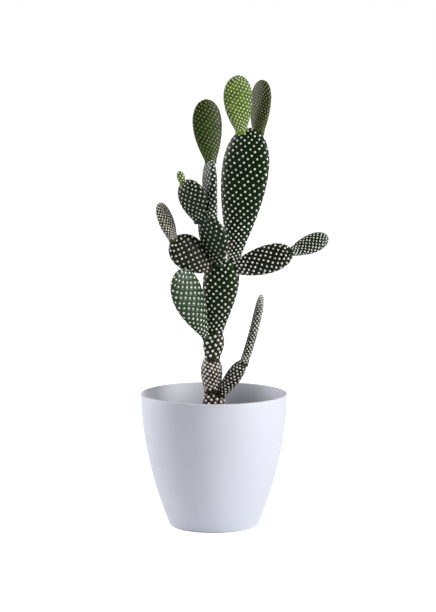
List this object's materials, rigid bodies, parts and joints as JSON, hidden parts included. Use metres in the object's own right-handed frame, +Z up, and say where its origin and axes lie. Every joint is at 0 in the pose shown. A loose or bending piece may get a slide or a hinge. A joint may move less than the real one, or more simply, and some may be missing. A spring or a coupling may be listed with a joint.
{
  "type": "potted paddle cactus",
  "caption": "Bunny-ear prickly pear with many small dark green dotted pads, growing in potting mix in a plain round tapered pot.",
  "frame": {"origin": "middle of the pot's underside, on the surface that the pot stands on", "axes": "+Z up along the pot's axis, -Y towards the side that shows the plant widest (the front), +X to the front view's right"},
  "size_m": [0.1795, 0.14, 0.4308],
  "materials": {
    "pot": "satin",
    "potting_mix": "matte",
    "woody_stem": "matte",
    "mature_skin": "satin",
    "young_skin": "satin"
  },
  "bodies": {
    "root": {"pot": "pot", "potting_mix": "potting_mix", "stem_foot": "woody_stem", "stem_lower": "woody_stem", "stem_middle": "woody_stem", "trunk_pad": "mature_skin", "tall_pad": "mature_skin", "front_pad": "mature_skin", "edge_pad": "mature_skin", "round_pad": "mature_skin", "left_pad": "mature_skin", "low_left_pad": "mature_skin", "right_pad": "mature_skin", "shoot_foot": "mature_skin", "shoot_pad": "mature_skin", "ear_pad_left": "young_skin", "ear_pad_right": "young_skin", "top_left_pad": "young_skin", "bud": "young_skin", "left_tip_pad": "young_skin", "right_tip_pad": "young_skin"}
  },
  "joints": []
}
